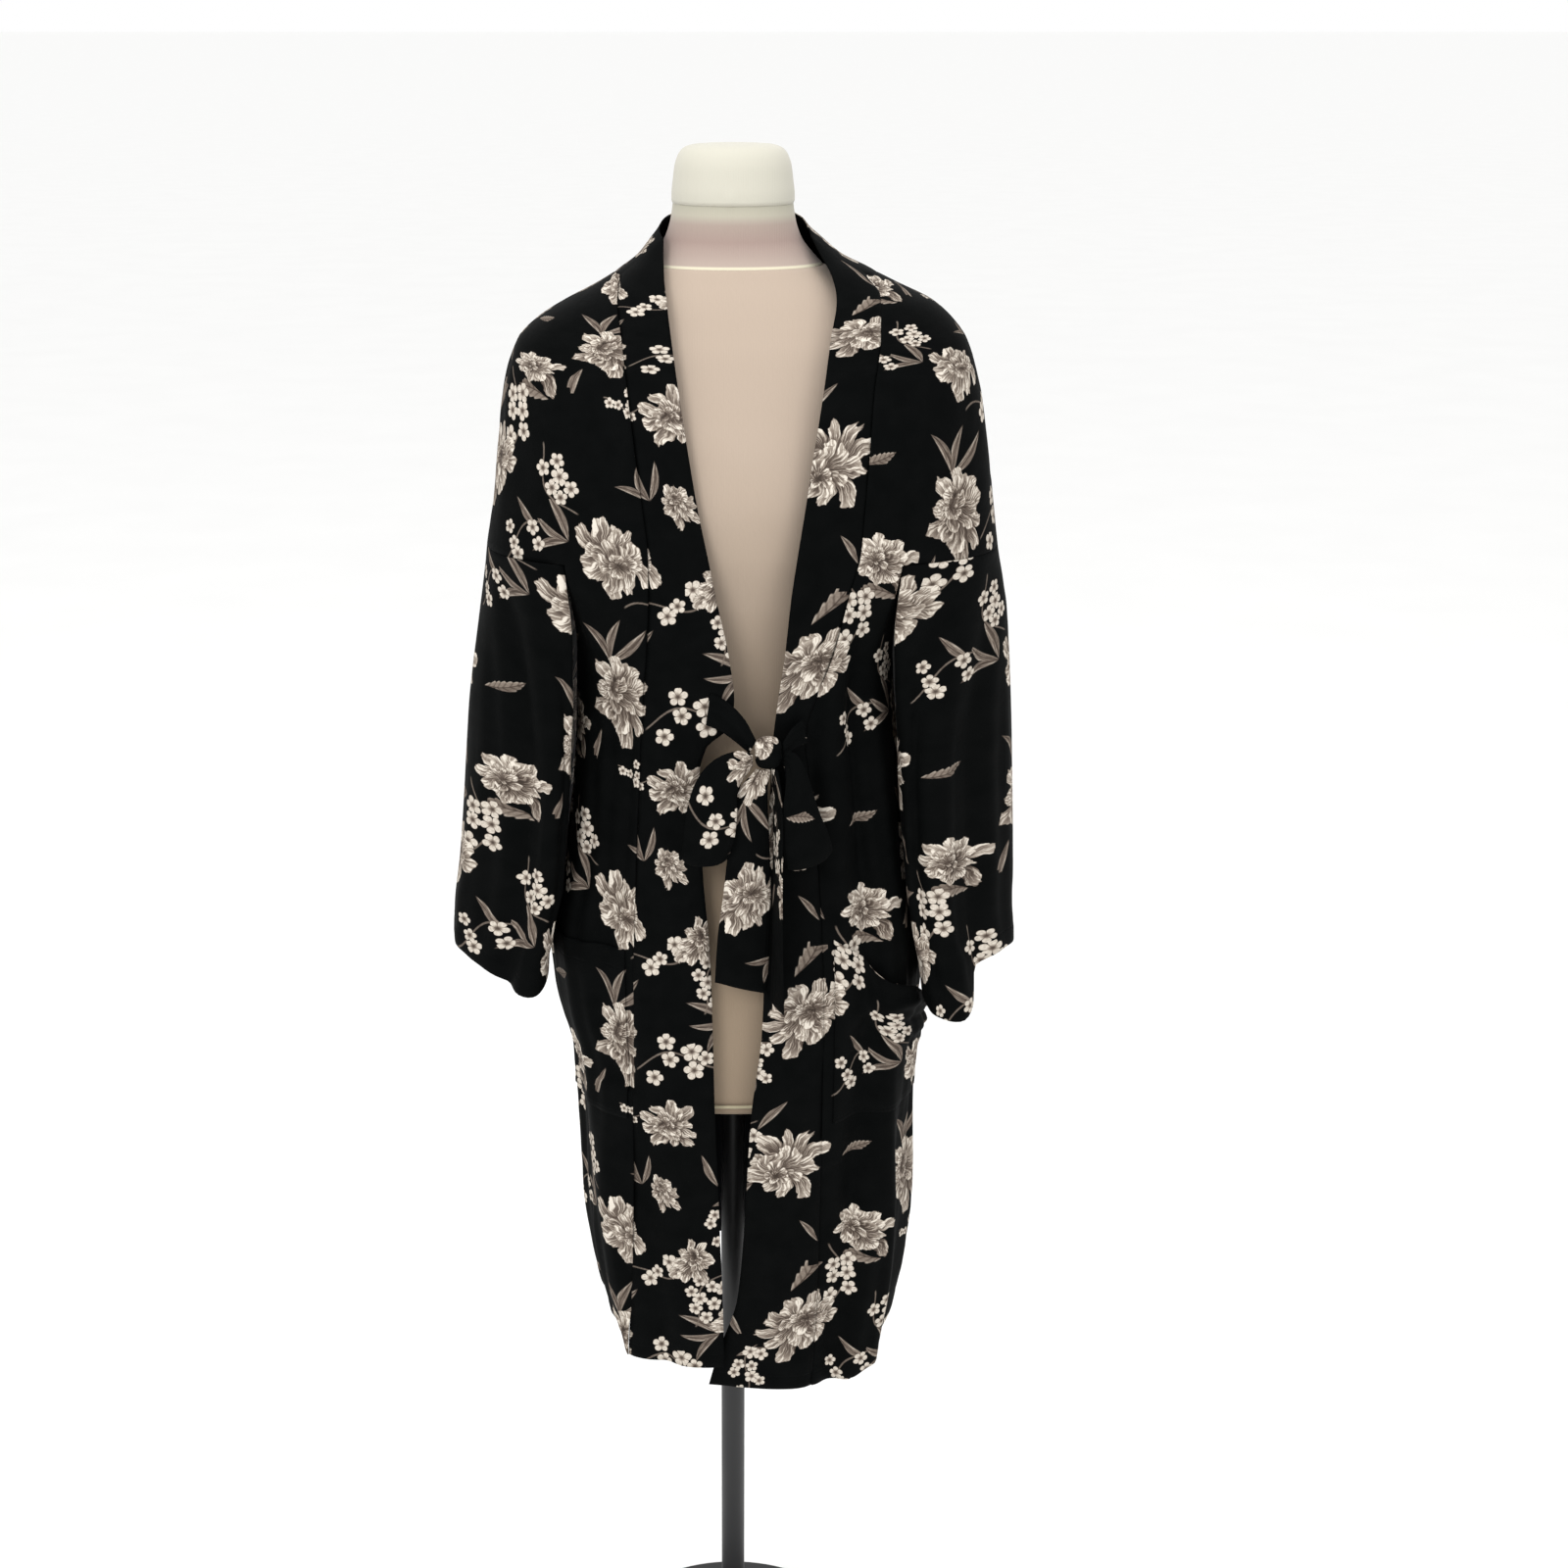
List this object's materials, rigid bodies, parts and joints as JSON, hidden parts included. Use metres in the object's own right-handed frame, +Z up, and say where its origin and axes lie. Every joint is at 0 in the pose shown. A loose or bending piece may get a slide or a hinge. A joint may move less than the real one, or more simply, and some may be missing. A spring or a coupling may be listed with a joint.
{
  "type": "kimono coat on a dress form",
  "caption": "Knee-length open kimono coat with a neck band, tie bow, drop-shoulder sleeves and patch pockets, worn by a limbless dress form on a pole stand.",
  "frame": {"origin": "middle of the stand's base, on the floor", "axes": "+Z up along the pole, -Y the way the coat's front faces, +X to the right as seen from the front"},
  "size_m": [0.5452, 0.3067, 1.581],
  "materials": {
    "coat_cloth": "light black viscose with a greige and cream flower print",
    "form_cover": "cream jersey stretched over a rigid form",
    "stand_metal": "satin black paint"
  },
  "bodies": {
    "root": {"back": "coat_cloth", "front_left": "coat_cloth", "front_right": "coat_cloth", "sleeve_left": "coat_cloth", "sleeve_right": "coat_cloth", "band_left": "coat_cloth", "band_right": "coat_cloth", "pocket_left": "coat_cloth", "pocket_right": "coat_cloth", "tie_strap_left": "coat_cloth", "tie_strap_right": "coat_cloth", "bow_knot": "coat_cloth", "bow_loop_left": "coat_cloth", "bow_loop_right": "coat_cloth", "tie_tail_front": "coat_cloth", "tie_tail_side": "coat_cloth", "form_torso": "form_cover", "form_neck": "form_cover", "form_cap": "form_cover", "form_piping": "form_cover", "stand_pole": "stand_metal", "stand_base": "stand_metal"}
  },
  "joints": []
}
